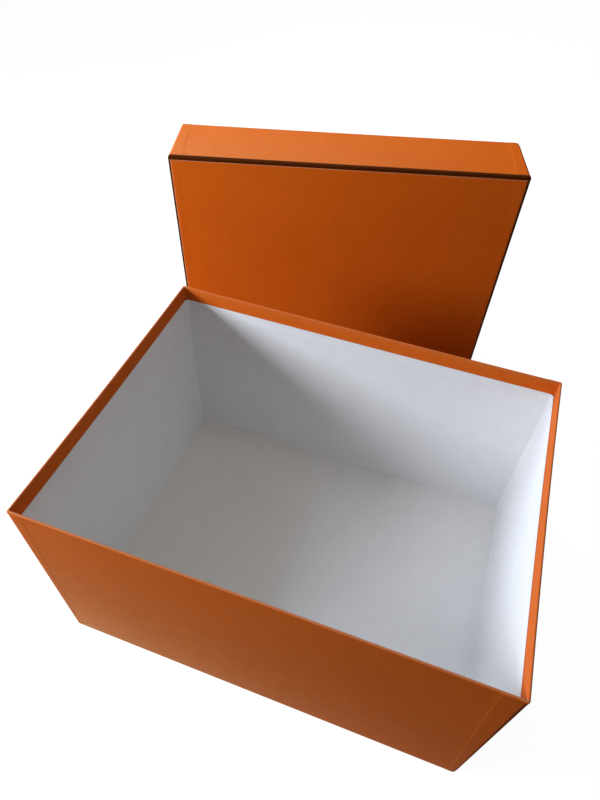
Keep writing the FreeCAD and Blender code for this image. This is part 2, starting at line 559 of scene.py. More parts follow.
class Recipe:
    """A geometry node tree that shapes a grid by formulas, with named inputs for its sizes."""

    def __init__(self, name: str, columns: int, rows: int) -> None:
        """Start the tree from a grid.

        Args:
            name: The tree's name.
            columns: Vertices across the grid, where X runs from -1 to 1.
            rows: Vertices up the grid, where Y runs from -1 to 1.
        """
        self.tree = bpy.data.node_groups.new(name, "GeometryNodeTree")
        self.tree.interface.new_socket("Geometry", in_out="OUTPUT", socket_type="NodeSocketGeometry")
        self.inputs = add_node(self.tree, "NodeGroupInput")
        self.identifiers: dict[str, str] = {}
        self.sheet = self.lattice(2.0, 2.0, columns, rows)
        self.across, self.up, _ = self.place()

    def lattice(self, width: Number, depth: Number, columns: int, rows: int) -> Socket:
        """A flat grid of a width along X and a depth along Y."""
        inputs = {"Size X": width, "Size Y": depth, "Vertices X": columns, "Vertices Y": rows}
        return add_node(self.tree, "GeometryNodeMeshGrid", inputs).outputs["Mesh"]

    def place(self) -> tuple[Field, Field, Field]:
        """Find where the point at hand is.

        Returns:
            Its X, Y and Z.
        """
        position = add_node(self.tree, "GeometryNodeInputPosition")
        parts = add_node(self.tree, "ShaderNodeSeparateXYZ", {0: position.outputs[0]})
        return tuple(Field(self.tree, output) for output in parts.outputs)

    def lengths(self, *names: str) -> list[Field]:
        """Add named inputs for sizes.

        Args:
            names: Their names.

        Returns:
            The sizes in that order. One that isn't given when the tree runs is zero.
        """
        for name in names:
            socket = self.tree.interface.new_socket(name, in_out="INPUT", socket_type="NodeSocketFloat")
            self.identifiers[name] = socket.identifier
        return [Field(self.tree, self.inputs.outputs[name]) for name in names]

    def vector(self, x: Number, y: Number, z: Number) -> Socket:
        """Join three numbers to a vector."""
        return add_node(self.tree, "ShaderNodeCombineXYZ", {0: x, 1: y, 2: z}).outputs[0]

    def random_height(self, scale: float, x: Field, y: Field, seed: Field) -> Field:
        """Seeded noise from 0 to 1 over a sheet.

        Args:
            scale: Features in a metre.
            x: Place along the sheet.
            y: Place across it.
            seed: Seed.

        Returns:
            The noise.
        """
        inputs = {"Vector": self.vector(x, y, 0.0), "W": seed, "Scale": scale, "Detail": 1.0}
        node = add_node(self.tree, "ShaderNodeTexNoise", inputs, noise_dimensions="4D")
        return Field(self.tree, node.outputs["Fac"])

    def mark(self, name: str, value: Field) -> None:
        """Store a number on the grid's points, before they are moved.

        Args:
            name: Name of the attribute.
            value: The number.
        """
        node = add_node(
            self.tree, "GeometryNodeStoreNamedAttribute",
            {"Geometry": self.sheet, "Name": name, "Value": value}, data_type="FLOAT", domain="POINT")
        self.sheet = node.outputs["Geometry"]

    def moved(self, x: Number, y: Number, z: Number) -> Socket:
        """The grid with its points moved to the given place."""
        inputs = {"Geometry": self.sheet, "Position": self.vector(x, y, z)}
        return add_node(self.tree, "GeometryNodeSetPosition", inputs).outputs["Geometry"]

    def end(self, geometry: Socket, material: bpy.types.Material) -> None:
        """Close the tree with real geometry and a material.

        Args:
            geometry: What the tree has made.
            material: The finish of all its faces.
        """
        real = add_node(self.tree, "GeometryNodeRealizeInstances", {0: geometry})
        inputs = {"Geometry": real.outputs[0], "Material": material}
        painted = add_node(self.tree, "GeometryNodeSetMaterial", inputs)
        add_node(self.tree, "NodeGroupOutput", {0: painted.outputs[0]})

    def mesh(self, name: str, **sizes: float) -> bpy.types.Mesh:
        """Run the tree once.

        Args:
            name: Name of the mesh.
            sizes: The named inputs, with _ for a space.

        Returns:
            A plain mesh.
        """
        carrier = bpy.data.objects.new(name, bpy.data.meshes.new(name))
        bpy.context.scene.collection.objects.link(carrier)
        modifier = carrier.modifiers.new("recipe", "NODES")
        modifier.node_group = self.tree
        for size, value in sizes.items():
            modifier[self.identifiers[size.replace("_", " ")]] = value
        graph = bpy.context.evaluated_depsgraph_get()
        made = bpy.data.meshes.new_from_object(carrier.evaluated_get(graph), depsgraph=graph)
        carrier.modifiers.remove(modifier)
        bpy.data.objects.remove(carrier)
        return made


def folded_band(material: bpy.types.Material) -> Recipe:
    """The strip folded over one edge of the lid's top, mitred at both ends.

    Args:
        material: Its finish.

    Returns:
        The recipe. In it the edge lies along X, on the low Y side.
    """
    recipe = Recipe("folded_band", columns=81, rows=37)
    half_length, half_width, corner, drop, lap, fold, level = recipe.lengths(
        "Half Length", "Half Width", "Corner Radius", "Side Drop", "Top Lap", "Fold Radius", "Top Level")
    side_share, fold_share = 0.2, 0.4
    straight_share = 0.8
    least_radius = 0.2 * MM
    worn_edge = 0.8 * MM
    fold_wear = 0.2

    run = (1.0 - recipe.up) * 0.5
    side = (run / side_share).clamped() * (drop - fold)
    turn = ((run - side_share) / fold_share).clamped() * RIGHT_ANGLE
    flat = ((run - side_share - fold_share) / (1.0 - side_share - fold_share)).clamped() * (lap - fold)
    inset = fold * (1.0 - turn.cosine()) + flat
    z = level + drop - side - fold * turn.sine()

    radius = (corner - inset).at_least(least_radius)
    straight = half_length - inset - radius
    share = recipe.across.size()
    angle = ((share - straight_share) / (1.0 - straight_share)).clamped() * MITRE_ANGLE
    x = recipe.across.sign() * ((share / straight_share).at_most(1.0) * straight + radius * angle.sine())
    y = radius - half_width + inset - radius * angle.cosine()
    folded = (turn * 2.0).sine().at_least((angle * 2.0).sine() * (1.0 - (inset / corner).clamped()))
    recipe.mark("fold", (1.0 - side / worn_edge).clamped().at_least(folded * fold_wear))
    recipe.end(recipe.moved(x, y, z), material)
    return recipe


def corner_tapes(material: bpy.types.Material) -> Recipe:
    """Four angle strips of tape, one on each upright corner of the boards.

    Args:
        material: Their finish.

    Returns:
        The recipe.
    """
    recipe = Recipe("corner_tapes", columns=41, rows=7)
    half_length, half_width, radius, leg, low, high = recipe.lengths(
        "Half Length", "Half Width", "Corner Radius", "Leg", "Low", "High")
    round_share = 0.5
    diagonal = 1.25 * HALF_TURN

    side = recipe.across.sign()
    share = recipe.across.size()
    angle = side * (share / round_share).at_most(1.0) * MITRE_ANGLE + diagonal
    along = ((share - round_share) / (1.0 - round_share)).clamped() * (leg - radius)
    x = radius + radius * angle.cosine() + side.at_least(0.0) * along
    y = radius + radius * angle.sine() - side.at_most(0.0) * along
    z = low + (recipe.up + 1.0) * 0.5 * (high - low)
    strip = recipe.moved(x, y, z)

    corners = recipe.lattice(half_length * 2.0, half_width * 2.0, columns=2, rows=2)
    corner_x, corner_y, _ = recipe.place()
    facing = corner_x.sign().heading(corner_y.sign()) - (diagonal - 2.0 * HALF_TURN)
    inputs = {"Points": corners, "Instance": strip, "Rotation": recipe.vector(0.0, 0.0, facing)}
    spread = add_node(recipe.tree, "GeometryNodeInstanceOnPoints", inputs)
    recipe.end(spread.outputs["Instances"], material)
    return recipe


def laid_sheet(material: bpy.types.Material) -> Recipe:
    """A flat sheet laid in a tray or on the lid, with its edge raised and faint cockles between.

    Args:
        material: Its finish.

    Returns:
        The recipe. The sheet faces up.
    """
    recipe = Recipe("laid_sheet_" + material.name, columns=61, rows=49)
    half_length, half_width, level, rise, end_shelf, side_shelf = recipe.lengths(
        "Half Length", "Half Width", "Level", "Edge Rise", "End Shelf", "Side Shelf")
    slope, curl, cockle, rub, painted_reflection, lean, seed = recipe.lengths(
        "Edge Slope", "Edge Curl", "Cockle", "Rubbed Edge", "Scuff", "Scuff Lean", "Seed")
    middle_share = 0.7
    border_spread = 1.2
    wave_rate, wave_foot = 9.0, 0.45
    calm_edge = 30.0 * MM
    least_rub = 0.01 * MM

    def along(run: Field, half: Field, shelf: Field) -> Field:
        """Place along one side of the sheet, with rows drawn together near the edge.

        Args:
            run: Place on the grid, from -1 to 1.
            half: Half length of the side.
            shelf: Width of the raised edge.

        Returns:
            The place.
        """
        border = (shelf + slope + rub) * border_spread
        share = run.size()
        near = ((share - middle_share) / (1.0 - middle_share)).clamped() * border
        return run.sign() * ((share / middle_share).at_most(1.0) * (half - border) + near)

    x = along(recipe.across, half_length, end_shelf)
    y = along(recipe.up, half_width, side_shelf)
    from_end = half_length - x.size()
    from_side = half_width - y.size()
    edge = from_end.at_most(from_side)
    step = (1.0 - ((from_end - end_shelf).at_most(from_side - side_shelf) / slope).smooth()) * rise
    steep = (1.0 - edge / curl).clamped()
    fillet = curl * (1.0 - (1.0 - steep * steep).root())
    wave = (recipe.random_height(wave_rate, x, y, seed) - wave_foot).at_least(0.0)
    z = level + step + fillet + wave * cockle * (edge / calm_edge).smooth()
    recipe.mark("fold", (1.0 - edge / rub.at_least(least_rub)).clamped())
    # Painted reflection, stronger towards the low X end
    recipe.mark("painted_reflection", painted_reflection * (1.0 - x / half_length * lean))
    recipe.end(recipe.moved(x, y, z), material)
    return recipe


# Meshes


@dataclass
class Patch:
    """A sheet's visible face as a grid of points, with weights for the paler fold colour, which is rubbed
    paper with painted highlight and sheen, and for painted reflection.
    """

    points: np.ndarray
    fold: np.ndarray
    painted_reflection: np.ndarray


def grid_mesh(name: str, patch: Patch) -> bpy.types.Mesh:
    """A mesh of quads from a patch, with a UV map in metres along the sheet.

    Args:
        name: Name of the mesh.
        patch: The patch.

    Returns:
        The mesh.
    """
    rows, columns = patch.fold.shape
    index = np.arange(rows * columns).reshape(rows, columns)
    corners = (index[:-1, :-1], index[:-1, 1:], index[1:, 1:], index[1:, :-1])
    faces = np.stack([part.ravel() for part in corners], axis=1)
    mesh = bpy.data.meshes.new(name)
    mesh.from_pydata(patch.points.reshape(-1, 3).tolist(), [], faces.tolist())
    for weight, values in (("fold", patch.fold), ("painted_reflection", patch.painted_reflection)):
        stored = mesh.attributes.new(weight, "FLOAT", "POINT")
        stored.data.foreach_set("value", values.ravel().astype(np.float32))

    def run(line: np.ndarray) -> np.ndarray:
        """Distance along a line of points."""
        return np.concatenate(([0.0], np.cumsum(np.linalg.norm(np.diff(line, axis=0), axis=1))))

    across = run(patch.points[rows // 2])
    up = run(patch.points[:, columns // 2])
    spread = np.stack(np.meshgrid(across, up), axis=-1).reshape(-1, 2)
    layer = mesh.uv_layers.new(name="UVMap")
    layer.data.foreach_set("uv", spread[faces.ravel()].astype(np.float32).ravel())
    return mesh


def tube(name: str, points: np.ndarray, around: int) -> bpy.types.Mesh:
    """A closed mesh through rings of points, capped at both ends.

    Args:
        name: Name of the mesh.
        points: The rings' points, one ring after another.
        around: Points in a ring.

    Returns:
        The mesh.
    """
    rings = len(points) // around
    index = np.arange(len(points)).reshape(rings, around)
    following = np.roll(index, -1, axis=1)
    corners = (index[:-1], index[1:], following[1:], following[:-1])
    faces = np.stack([part.ravel() for part in corners], axis=1).tolist()
    faces += [index[0].tolist(), index[-1][::-1].tolist()]
    mesh = bpy.data.meshes.new(name)
    mesh.from_pydata(points.tolist(), [], faces)
    return mesh


def round_edges(shell: bmesh.types.BMesh, edges: list, radius: float, segments: int) -> None:
    """Round edges of a mesh that is being made."""
    bmesh.ops.bevel(
        shell, geom=edges, offset=radius, segments=segments, profile=ROUND_PROFILE, affect="EDGES")


def turn_over(mesh: bpy.types.Mesh) -> None:
    """Turn a flat sheet over about X, so that it faces down."""
    mesh.transform(Matrix.Rotation(HALF_TURN, 4, "X"))


def straight_part(along: np.ndarray, edge: float) -> np.ndarray:
    """Plan points at these places along the low Y wall, at an edge's distance from the middle."""
    return np.column_stack((along, np.full(len(along), -edge)))


def round_part(straight: float, edge: float, radius: float, angles: np.ndarray) -> np.ndarray:
    """Plan points round the corner at the end of a straight part, turned by these angles."""
    return np.column_stack((straight + radius * np.sin(angles), radius - edge - radius * np.cos(angles)))


def whole_row(left: np.ndarray, right: np.ndarray) -> np.ndarray:
    """A row from two halves that both go right from the middle, with the first mirrored."""
    return np.concatenate((left[:0:-1] * MIRROR, right))


# Trays


@dataclass(frozen=True)
class Place:
    """Where a tray stands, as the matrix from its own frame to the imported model's."""

    matrix: Matrix

    def limits(self, node: str) -> tuple[np.ndarray, np.ndarray]:
        """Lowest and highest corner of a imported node, in the tray's own frame.

        Args:
            node: The node's name.

        Returns:
            The two corners.
        """
        inverse = self.matrix.inverted()
        points = np.array([inverse @ v.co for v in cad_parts[node].data.vertices])
        return points.min(axis=0), points.max(axis=0)

    def put(self, points: np.ndarray) -> np.ndarray:
        """Points of the tray's frame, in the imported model's frame."""
        turn = np.array(self.matrix.to_3x3())
        return points @ turn.T + np.array(self.matrix.translation)


def lid_place() -> Place:
    """Find how the lid stands from its packed top: Z into the lid, and the origin on the outer face.

    Returns:
        The lid's place.
    """
    largest = max(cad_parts["lid_top_lining"].data.polygons, key=lambda polygon: polygon.area)
    inward = Vector(largest.normal)
    if inward.y < 0:
        inward.negate()
    down = Vector((0, 0, -1))
    turn = Matrix((down.cross(inward), down, inward)).transposed()
    low, high = Place(turn.to_4x4()).limits("lid_top_sheet")
    origin = turn @ Vector(((low[0] + high[0]) / 2, (low[1] + high[1]) / 2, low[2]))
    return Place(Matrix.Translation(origin) @ turn.to_4x4())


@dataclass(frozen=True)
class Cockles:
    """Faint waves where glued paper has lifted off a wall, calm near the sheet's edges and ends."""

    rate: float
    calm_edge: float
    calm_end: float
    seed: float
    height: float = 0.22 * MM

    def lift(self, along: float, level: float, to_edge: float, to_end: float, seed: float) -> float:
        """Height of the waves at a point of a sheet.

        Args:
            along: Where the point is along the wall.
            level: Where it is up the wall.
            to_edge: Its distance from the upper or the lower edge, whichever is nearer.
            to_end: Its distance from the nearer end.
            seed: Seed of the sheet.

        Returns:
            The height.
        """
        spot = Vector((along * self.rate, level * self.rate, seed + self.seed))
        wave = max(0.0, noise.noise(spot) + RIPPLE_SHIFT)
        return self.height * wave * smooth(to_edge / self.calm_edge) * smooth(to_end / self.calm_end)


@dataclass(frozen=True)
class Row:
    """One row of a covering sheet: its section point and outward normal, and how it ends."""

    inset: float
    height: float
    normal: Pair
    reach: Reach = Reach.MITRE
    lift: float = 0.0
    fold: float = 0.0


@dataclass(kw_only=True)
class Tray:
    """One tray of the box: wall boards, corner tapes, covering sheets and linings.

    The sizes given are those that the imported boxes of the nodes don't tell. Where there is a number for
    each wall, they are in the order of the walls' quarter turns.
    """

    # What it is
    body: Body
    place: Place
    walls: dict[Wall, str]
    floor: str
    floor_lining: str
    paper: float
    materials: dict[str, bpy.types.Material]

    # Folds, and seams over flaps of two widths
    turn_in: float
    turn_under: float
    foot_level: float
    foot_fold: float
    rim_fold: float
    corner: float
    inner_corner: float = 0.5 * MM
    seam_low: float
    seam_lift: float = 0.24 * MM
    lift_fade: float = 1.5
    seam_half: float = 1.4 * MM
    seam_room: float = 0.3 * MM
    flap_rim: Pair
    flap_foot: Pair
    flap_clear: float = 22.0 * MM

    # Shape, rubbing, painted highlight and sheen, and painted reflection
    bow: Pair
    bow_power: float = 1.5
    soft_corners: Pair
    soft_reach: float = 8.0 * MM
    rim_corners: bool
    # Painted reflection on the outer faces: its strength, its lean to the low X end and the height over which
    # it fades
    painted_reflection: float
    painted_reflection_lean: float
    painted_reflection_height: float = 140.0 * MM
    # Per wall, how pale the rim's crest is: rubbed paper, with a painted highlight set to how each crest is
    # lit
    rim_wear_and_highlight: tuple[float, float, float, float] = (1.0, 0.45, 0.5, 0.7)
    # Per wall, the share of the paler colour on the turned-in paper: painted sheen from the bright lining
    turn_in_painted_sheen: tuple[float, float, float, float] = (0.3, 0.35, 0.2, 0.25)
    foot_fold_wear: float = 0.35
    rim_fold_wear_and_highlight: float = 0.8
    rim_back_wear_and_highlight: float = 0.2
    rim_inside_ease: float = 0.45
    rim_sharpness: int = 4
    corner_wear: float = 0.2
    seed: float
    floor_cockle: float
    cover_cockles: Cockles = Cockles(rate=11.0, calm_edge=20.0 * MM, calm_end=25.0 * MM, seed=0.0)
    lining_cockles: Cockles = Cockles(rate=9.0, calm_edge=25.0 * MM, calm_end=30.0 * MM, seed=10.0)

    # Tapes and linings
    tape: float = 0.15 * MM
    tape_leg: float = 20.0 * MM
    tape_end: float = 5.0 * MM
    tape_share: float = 0.9
    lining_corner: float = 1.6 * MM
    lining_opening: float = 1.5
    lining_run: float = 1.6 * MM
    lining_lip: float = 0.25 * MM
    soft_edge: float = 30.0 * MM
    floor_curl: float = 0.8 * MM
    tuck: float = 0.12 * MM

    # Rows and columns of the meshes, with the starts of laps and flaps in steps from the seams' ends
    step: float = 0.8 * MM
    lap_start: float = 1.5
    flap_start: float = 0.5
    under_rows: int = 4
    fold_rows: int = 7
    wall_rows: int = 22
    turn_in_rows: int = 8
    middle_columns: int = 16
    seam_columns: int = 6
    end_columns: int = 12
    lead_columns: int = 2
    flap_columns: int = 3
    lining_rows_below: int = 18
    lining_rows_above: int = 5
    lining_rows_run: int = 6
    board_levels: int = 10
    board_arc: int = 5

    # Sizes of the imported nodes
    floor_top: float = field(init=False)
    half_x: float = field(init=False)
    half_y: float = field(init=False)
    wall: float = field(init=False)
    rim: float = field(init=False)
    height: float = field(init=False)
    lining_top: float = field(init=False)
    seam_high: float = field(init=False)

    def __post_init__(self) -> None:
        """Read the tray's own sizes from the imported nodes."""
        board_high = self.place.limits(self.node(self.floor, "board"))[1]
        side_low, side_high = self.place.limits(self.node(self.walls[Wall.HIGH_X], "board"))
        lining_high = self.place.limits(self.node(self.walls[Wall.HIGH_X], "lining"))[1]
        self.floor_top = board_high[2]
        self.half_x = board_high[0] + self.paper
        self.half_y = board_high[1] + self.paper
        self.wall = side_high[0] - side_low[0]
        self.rim = self.wall + 2 * self.paper
        self.height = side_high[2] + self.paper
        self.lining_top = lining_high[2]
        self.seam_high = self.height - self.rim_fold

    def node(self, side: str, kind: str) -> str:
        """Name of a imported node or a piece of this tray."""
        return f"{self.body.value}_{side}_{kind}"

    def spans(self, wall: Wall) -> Pair:
        """Half length of a wall, and its distance from the middle."""
        return (self.half_x, self.half_y) if wall.lapped else (self.half_y, self.half_x)

    def bowed(self, points: np.ndarray) -> np.ndarray:
        """Draw the walls in a little towards the middle of the rim, as open board walls stand.

        Args:
            points: Points in the tray's frame.

        Returns:
            The points moved.
        """
        x, y, z = points.T
        rise = np.clip(z / self.height, 0.0, 1.0) ** self.bow_power
        in_x = self.bow[0] / self.half_x * (1.0 - np.clip((y / self.half_y) ** 2, 0.0, 1.0)) * rise
        in_y = self.bow[1] / self.half_y * (1.0 - np.clip((x / self.half_x) ** 2, 0.0, 1.0)) * rise
        return np.column_stack((x * (1.0 - in_x), y * (1.0 - in_y), z))

    def softened(self, points: np.ndarray) -> np.ndarray:
        """Press in the corners that handling has rounded, at the foot of the tray or at its rim.

        Args:
            points: Points in the tray's frame.

        Returns:
            The points, with those near a corner moved towards the middle.
        """
        level = self.height if self.rim_corners else 0.0
        corner = np.column_stack((np.copysign(self.half_x, points[:, 0]),
                                  np.copysign(self.half_y, points[:, 1]), np.full(len(points), level)))
        inward = np.sign(np.array([0.0, 0.0, self.height / 2]) - corner) / math.sqrt(3.0)
        near = np.clip(1.0 - np.linalg.norm(points - corner, axis=1) / self.soft_reach, 0.0, 1.0)
        press = np.where(points[:, 0] < 0.0, *self.soft_corners) * near ** 2
        return points + inward * press[:, None]

    def settled(self, points: np.ndarray, wall: Wall = Wall.LOW_Y) -> np.ndarray:
        """Points built for the low Y wall, turned to their wall, shaped and put in place."""
        turned = points.reshape(-1, 3) @ wall.turn.T
        return self.place.put(self.softened(self.bowed(turned)))

    def flap(self, height: float, which: int) -> float:
        """Width at a height of the flaps at the front left and back right, 0, or of the others, 1."""
        share = np.clip((height - self.seam_low) / (self.seam_high - self.seam_low), 0.0, 1.0)
        return self.flap_foot[which] + (self.flap_rim[which] - self.flap_foot[which]) * share

    def reach(self, height: float, lapped: bool) -> Reach:
        """Find how far a covering sheet goes at the corner.

        Args:
            height: A height of the wall.
            lapped: Whether the sheet lies over its neighbours' flaps.

        Returns:
            Its reach at that height.
        """
        inside = min(height - self.seam_low, self.seam_high - height)
        if lapped:
            return Reach.LAP if inside > self.lap_start * self.step else Reach.MITRE
        return Reach.FLAP if inside > self.flap_start * self.step else Reach.MITRE

    def cover_rows(self, lapped: bool) -> list[Row]:
        """Rows of a covering sheet, from its turned-under edge up the wall and down inside.

        Args:
            lapped: Whether the sheet lies over its neighbours' flaps.

        Returns:
            The rows in order.
        """
        turns = [(math.sin(angle), math.cos(angle), math.sin(2.0 * angle))
                 for angle in np.linspace(0.0, RIGHT_ANGLE, self.fold_rows)]
        foot, rim, top = self.foot_fold, self.rim_fold, self.height
        under = np.linspace(self.turn_under, foot, self.under_rows)[:-1]
        rows = [Row(inset, self.foot_level, DOWNWARD) for inset in under]
        rows += [Row(foot * (1.0 - sine), self.foot_level + foot * (1.0 - cosine), (-sine, -cosine),
                     fold=self.foot_fold_wear * bend) for sine, cosine, bend in turns]
        starts = self.seam_low + self.step * np.array([-1.0, 0.0, 1.0, 2.0])
        stops = self.seam_high - self.step * np.array([2.0, 1.0])
        between = np.linspace(starts[-1], stops[0], self.wall_rows)[1:-1]
        heights = [z for z in (*starts, *between, *stops) if z > self.foot_level + foot + NEAR]
        rows += [Row(0.0, z, OUTWARD, self.reach(z, lapped)) for z in heights]
        # The rim's crest is paler: rubbed paper, with a painted highlight
        rows += [Row(rim * (1.0 - cosine), top - rim + rim * sine, (-cosine, sine),
                     fold=self.rim_fold_wear_and_highlight * sine ** self.rim_sharpness) for sine, cosine, _ in turns]
        for sine, cosine, bend in turns:
            fold = self.rim_fold_wear_and_highlight + self.rim_back_wear_and_highlight * bend
            fold -= self.rim_inside_ease * sine ** self.rim_sharpness
            rows.append(Row(self.rim - rim + rim * sine, top - rim + rim * cosine, (sine, cosine), fold=fold))
        inside = np.linspace(top - rim, top - self.turn_in, self.turn_in_rows)[1:]
        # The turned-in paper takes the full fold weight, which its wall's share turns into painted sheen
        rows += [Row(self.rim, z, INWARD, fold=1.0) for z in inside]
        return [self.lifted(row) for row in rows]

    def lifted(self, row: Row) -> Row:
        """Give a row its share of the lift over the flaps, which fades at the foot and on the rim.

        Args:
            row: The row.

        Returns:
            The row with its lift.
        """
        rising = smooth((row.height - self.seam_low + self.step) / self.step)
        outside = smooth(-row.normal[0] * self.lift_fade)
        return replace(row, lift=float(rising * outside))

    def corner_columns(self, row: Row, start: float, straight: float, radius: float, edge: float,
                       which: int) -> tuple[np.ndarray, np.ndarray]:
        """The last columns of a row, from its straight part to its end.

        Args:
            row: The row.
            start: Where these columns begin on the straight part.
            straight: Where the rounded corner begins.
            radius: Radius of the corner.
            edge: Distance of the straight part from the middle.
            which: Which of the two widths the flap here has.

        Returns:
            Plan points, and the angle that each has turned round the corner.
        """
        count = self.end_columns
        if row.reach is Reach.LAP:
            return straight_part(np.linspace(start, straight, count + 1)[1:], edge), np.zeros(count)
        lead = self.lead_columns if straight > start + NEAR else 0
        flat = self.flap_columns if row.reach is Reach.FLAP else 0
        limit = RIGHT_ANGLE if row.reach is Reach.FLAP else MITRE_ANGLE
        angles = np.linspace(0.0, limit, count - lead - flat + 1)[1:]
        on_flap = np.linspace(0.0, self.flap(row.height, which) - radius, flat + 1)[1:]
        parts = (straight_part(np.linspace(start, straight, lead + 1)[1:], edge),
                 round_part(straight, edge, radius, angles),
                 np.column_stack((np.full(flat, straight + radius), radius - edge + on_flap)))
        turned = np.concatenate((np.zeros(lead), angles, np.full(flat, RIGHT_ANGLE)))
        return np.concatenate(parts), turned

    def half_row(self, row: Row, wall: Wall, which: int) -> tuple[np.ndarray, np.ndarray]:
        """Points and pale fold weight of a row of a covering sheet, from its middle to the high X end.

        Args:
            row: The row.
            wall: The wall. Its rows are built as on the low Y side.
            which: Which of the two widths the flap at this end has.

        Returns:
            The points, and their pale fold weight.
        """
        length, width = self.spans(wall)
        radius = max(self.corner - row.inset, self.inner_corner)
        straight = length - row.inset - radius
        edge = width - row.inset
        if wall.lapped:
            seam = min(length - self.flap(row.height, which), straight - self.seam_half - self.seam_room)
            across = seam + self.seam_half * np.linspace(-1.0, 1.0, self.seam_columns + 1)
            along = np.concatenate((np.linspace(0.0, across[0], self.middle_columns + 1), across[1:]))
            ramp = smooth((along - across[0]) / (2.0 * self.seam_half))
        else:
            along = np.linspace(0.0, straight, self.middle_columns + self.seam_columns + 1)
            ramp = np.zeros(len(along))
        ends, turned = self.corner_columns(row, along[-1], straight, radius, edge, which)
        plan = np.concatenate((straight_part(along, edge), ends))
        angle = np.concatenate((np.zeros(len(along)), turned))
        lift = self.seam_lift * row.lift * np.concatenate((ramp, np.full(len(ends), float(wall.lapped))))
        out = np.column_stack((np.sin(angle), -np.cos(angle)))
        plan = plan - out * (lift * row.normal[0])[:, None]
        height = row.height + lift * row.normal[1]
        worn_and_sheen = np.maximum(row.fold, self.corner_wear * np.sin(2.0 * angle) * (row.inset < self.rim / 2))
        return np.column_stack((plan, height)), worn_and_sheen

    def cover(self, wall: Wall) -> Patch:
        """The covering sheet of one wall.

        Args:
            wall: The wall.

        Returns:
            Its outer face.
        """
        length, _ = self.spans(wall)
        rows = self.cover_rows(wall.lapped)
        lines, wear_and_sheen = [], []
        for row in rows:
            left, left_fold_weight = self.half_row(row, wall, 0 if wall.lapped else 1)
            right, right_fold_weight = self.half_row(row, wall, 1 if wall.lapped else 0)
            line = whole_row(left, right)
            if row.normal == OUTWARD:
                to_edge = min(row.height - self.seam_low, self.seam_high - row.height)
                for point in line:
                    to_end = length - self.flap_clear - abs(point[0])
                    point[1] -= self.cover_cockles.lift(
                        point[0], row.height, to_edge, to_end, self.seed + wall.value)
            lines.append(line)
            wear_and_sheen.append(np.concatenate((left_fold_weight[:0:-1], right_fold_weight)) * self.fading(row, wall))
        points = np.array(lines)
        # Painted reflection: strongest at the foot of the outer faces, fading upwards and towards the high X
        # end
        outside = np.array([row.normal[0] < 0.0 or row.normal[1] < 0.0 for row in rows])
        leaning = 1.0 - self.painted_reflection_lean * (points @ wall.turn.T)[..., 0] / self.half_x
        faded = np.exp(-(points[..., 2] - self.foot_level) / self.painted_reflection_height)
        painted_reflection = self.painted_reflection * outside[:, None] * faded * leaning
        return Patch(self.settled(points, wall).reshape(points.shape), np.array(wear_and_sheen), painted_reflection)

    def fading(self, row: Row, wall: Wall) -> float:
        """How much of a row's pale fold weight shows on a wall: the rims' crests, with their painted
        highlight, and the turned-in paper, which is painted sheen, differ.

        Args:
            row: The row.
            wall: The wall.

        Returns:
            The share that shows.
        """
        if row.normal == INWARD:
            return self.turn_in_painted_sheen[wall.value]
        return self.rim_wear_and_highlight[wall.value] if row.normal[1] > RIM_NORMAL else 1.0

    def lining_rows(self) -> list[Pair]:
        """Place the rows of a wall's lining, from the floor to its edge below the rim.

        Returns:
            Inset and height of each. The lining steps over the edge of the turned-in paper.
        """
        foot, top, run = self.floor_top, self.lining_top, self.lining_run
        edge = self.height - self.turn_in
        heights = np.concatenate((
            [foot], np.linspace(foot + self.paper, edge - run, self.lining_rows_below),
            np.linspace(edge - run, edge, self.lining_rows_run)[1:],
            np.linspace(edge, top - run, self.lining_rows_above)[1:],
            np.linspace(top - run, top, self.lining_rows_run)[1:]))
        inset = self.rim + self.paper * smooth((heights - edge + run) / run)
        inset = inset + self.lining_lip * smooth((heights - top + run) / run)
        return list(zip(inset, heights))

    def lining(self, wall: Wall) -> Patch:
        """The lining of one wall, with soft inner corners.

        Args:
            wall: The wall.

        Returns:
            Its inner face.
        """
        length, width = self.spans(wall)
        angles = np.linspace(0.0, MITRE_ANGLE, self.fold_rows)[1:]
        lines = []
        for inset, height in self.lining_rows():
            opening = smooth((height - self.lining_top + self.soft_edge) / self.soft_edge)
            radius = self.lining_corner * (1.0 + self.lining_opening * opening)
            straight = length - inset - radius
            edge = width - inset
            along = np.linspace(0.0, straight, 2 * self.middle_columns + 1)
            plan = np.concatenate((straight_part(along, edge), round_part(straight, edge, radius, angles)))
            to_edge = min(height - self.floor_top, self.lining_top - height)
            for point in plan:
                point[1] += self.lining_cockles.lift(
                    point[0], height, to_edge, straight - abs(point[0]), self.seed + wall.value)
            half = np.column_stack((plan, np.full(len(plan), height)))
            lines.append(whole_row(half, half))
        grid = np.array(lines)[::-1]
        plain = np.zeros(grid.shape[:2])
        return Patch(self.settled(grid, wall).reshape(grid.shape), plain, plain)

